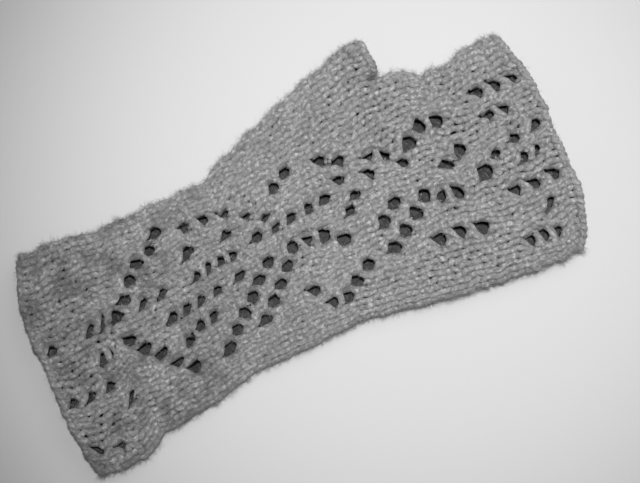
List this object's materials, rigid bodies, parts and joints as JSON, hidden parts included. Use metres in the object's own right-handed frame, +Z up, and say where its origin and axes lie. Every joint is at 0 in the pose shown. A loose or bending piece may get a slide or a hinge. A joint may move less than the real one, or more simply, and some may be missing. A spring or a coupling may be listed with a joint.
{
  "type": "wrist warmer",
  "caption": "Hand-knitted fingerless lace wrist warmer: a soft tube with ribbed borders, a side thumb gusset and opening, and yarn-over eyelets across the back of the hand.",
  "frame": {"origin": "middle of the bounding box in plan, on the plane the mitt lies on", "axes": "+X along the arm from the wrist rim to the finger rim, +Y across the hand towards the thumb, +Z up out of the back of the hand"},
  "size_m": [0.226, 0.1194, 0.012],
  "materials": {
    "tweed_wool": "knitted grey tweed wool, matt and slightly hairy",
    "tweed_wool_edge": "the same wool in denser bound stitches"
  },
  "bodies": {
    "root": {"cast_on_edge": "tweed_wool_edge", "wrist_border": "tweed_wool", "hand_tube": "tweed_wool", "finger_border": "tweed_wool", "finger_bind_off": "tweed_wool_edge", "thumb_bind_off": "tweed_wool_edge"}
  },
  "joints": []
}
